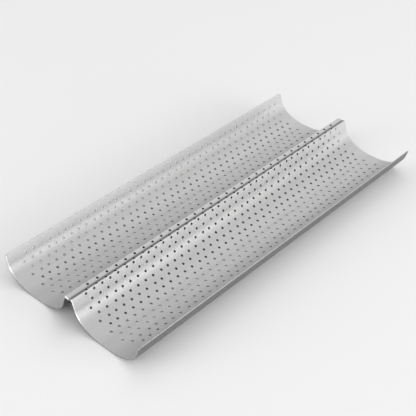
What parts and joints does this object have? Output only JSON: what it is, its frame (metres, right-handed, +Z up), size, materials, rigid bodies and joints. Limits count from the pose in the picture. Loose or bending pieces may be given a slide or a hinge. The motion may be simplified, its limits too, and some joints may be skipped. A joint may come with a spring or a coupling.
{
  "type": "baguette tray",
  "caption": "Perforated sheet-steel baking tray with side-by-side round-bottomed troughs for baguettes, lapped together in a low central ridge.",
  "frame": {"origin": "on the surface that the tray stands on, midway between the outer rims and midway between the two open ends", "axes": "+Y along the troughs, towards the back end; +X across them, from left_trough to right_trough; +Z up, out of the troughs' open side"},
  "size_m": [0.167, 0.38, 0.0282],
  "materials": {
    "coated_steel": "satin silver non-stick coating on thin steel sheet"
  },
  "bodies": {
    "root": {"left_trough": "coated_steel", "right_trough": "coated_steel"}
  },
  "joints": []
}
